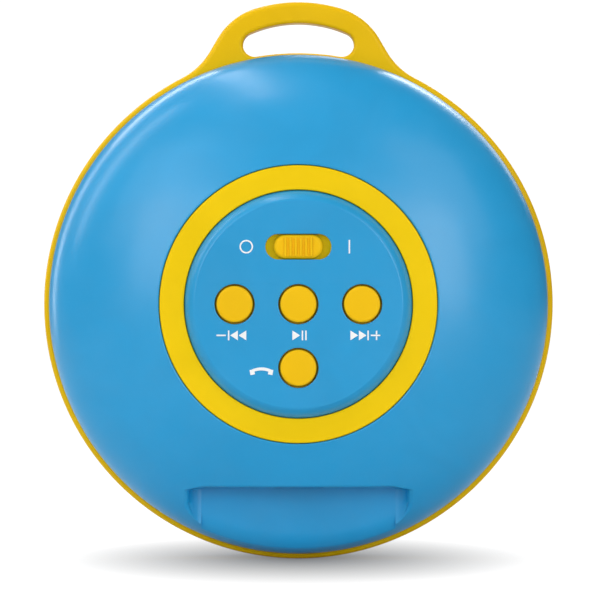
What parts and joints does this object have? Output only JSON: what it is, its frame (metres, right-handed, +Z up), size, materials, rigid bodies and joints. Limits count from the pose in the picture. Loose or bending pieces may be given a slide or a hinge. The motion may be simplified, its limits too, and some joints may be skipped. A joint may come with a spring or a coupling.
{
  "type": "shower speaker",
  "caption": "Round splash-proof Bluetooth speaker with a hanging loop, a raised control panel on its back and a perforated grille on its front.",
  "frame": {"origin": "where a hook bears, at the middle of the top of the hanging loop's opening", "axes": "+Z up as it hangs, -Y out of the control side and +Y out of the grille, +X to the right seen from the control side"},
  "size_m": [0.096, 0.0417, 0.105],
  "materials": {
    "blue_shell": "moulded, glossy, with a slight flow mottle",
    "blue_grille": "moulded and perforated",
    "yellow_band": "moulded, satin gloss",
    "yellow_trim": "moulded, satin",
    "yellow_key": "fine satin moulding",
    "white_ink": "pad-printed ink",
    "blue_rubber": "soft matt silicone",
    "grey_rubber": "soft matt silicone",
    "black_rubber": "soft rolled rubber",
    "foam": "closed-cell foam",
    "steel": "zinc plated",
    "plated_steel": "pressed and plated",
    "ferrite": "sintered ferrite, ground faces",
    "black_plastic": "moulded",
    "capacitor_can": "sleeved can",
    "white_plastic": "moulded nylon",
    "circuit_board": "solder mask with copper traces",
    "battery_foil": "laminated pouch",
    "paper_cone": "pressed pulp",
    "copper": "enamelled winding",
    "treated_cloth": "resin-treated cotton",
    "brass_tags": "tinned tags on a board",
    "black_cloth": "fine acoustic mesh",
    "red_wire": "insulated lead",
    "black_wire": "insulated lead"
  },
  "bodies": {
    "housing": {"rear_shell": "blue_shell", "rim_band": "yellow_band", "front_shell": "blue_shell", "main_seal": "grey_rubber", "control_panel": "blue_shell", "panel_seal": "grey_rubber", "trim_ring": "yellow_trim", "trim_ring_screws": "steel", "printed_legends": "white_ink", "keypad_membrane": "grey_rubber", "key_switches": "black_plastic", "switch_bed": "yellow_trim", "slide_switch": "steel", "main_board": "circuit_board", "board_screws": "steel", "radio_module": "steel", "amplifier_chip": "black_plastic", "capacitors": "capacitor_can", "microphone": "steel", "board_connectors": "white_plastic", "port_board": "circuit_board", "port_board_screws": "steel", "usb_socket": "steel", "port_cover_root": "blue_rubber", "battery": "battery_foil", "battery_pad": "foam", "battery_tray": "black_plastic", "tray_screws": "steel", "driver_basket": "plated_steel", "driver_gasket": "foam", "top_plate": "plated_steel", "magnet": "ferrite", "yoke": "plated_steel", "surround": "black_rubber", "spider": "treated_cloth", "driver_terminals": "brass_tags", "driver_screws": "steel", "grille": "blue_grille", "grille_cloth": "black_cloth", "front_ring": "yellow_trim", "shell_screws": "steel", "battery_leads": "red_wire", "driver_leads": "red_wire", "port_leads": "black_wire"},
    "previous_key": {"previous_button": "yellow_key", "previous_plunger": "black_plastic"},
    "play_key": {"play_button": "yellow_key", "play_plunger": "black_plastic"},
    "next_key": {"next_button": "yellow_key", "next_plunger": "black_plastic"},
    "call_key": {"call_button": "yellow_key", "call_plunger": "black_plastic"},
    "power_slider": {"switch_knob": "yellow_key", "switch_actuator": "black_plastic"},
    "cone_assembly": {"cone": "paper_cone", "dust_cap": "paper_cone", "voice_coil": "copper"},
    "port_flap": {"port_cover": "blue_rubber"}
  },
  "joints": [
    {"name": "previous_press", "type": "slide", "parent": "housing", "child": "previous_key", "axis": [0, 1, 0], "range_m": [0, 0.0005], "stiffness_N_per_m": 900, "deforming": ["keypad_membrane"]},
    {"name": "play_press", "type": "slide", "parent": "housing", "child": "play_key", "axis": [0, 1, 0], "range_m": [0, 0.0005], "stiffness_N_per_m": 900, "deforming": ["keypad_membrane"]},
    {"name": "next_press", "type": "slide", "parent": "housing", "child": "next_key", "axis": [0, 1, 0], "range_m": [0, 0.0005], "stiffness_N_per_m": 900, "deforming": ["keypad_membrane"]},
    {"name": "call_press", "type": "slide", "parent": "housing", "child": "call_key", "axis": [0, 1, 0], "range_m": [0, 0.0005], "stiffness_N_per_m": 900, "deforming": ["keypad_membrane"]},
    {"name": "power_slide", "type": "slide", "parent": "housing", "child": "power_slider", "axis": [1, 0, 0], "range_m": [-0.00145, 0.00145]},
    {"name": "cone_stroke", "type": "slide", "parent": "housing", "child": "cone_assembly", "axis": [0, 1, 0], "range_m": [-0.001, 0.001], "stiffness_N_per_m": 1000, "deforming": ["surround", "spider"]},
    {"name": "port_cover_hinge", "type": "hinge", "parent": "housing", "child": "port_flap", "pos_m": [0, -0.0101, -0.0869], "axis": [1, 0, 0], "range_deg": [0, 90], "stiffness_Nm_per_rad": 0.0005}
  ]
}
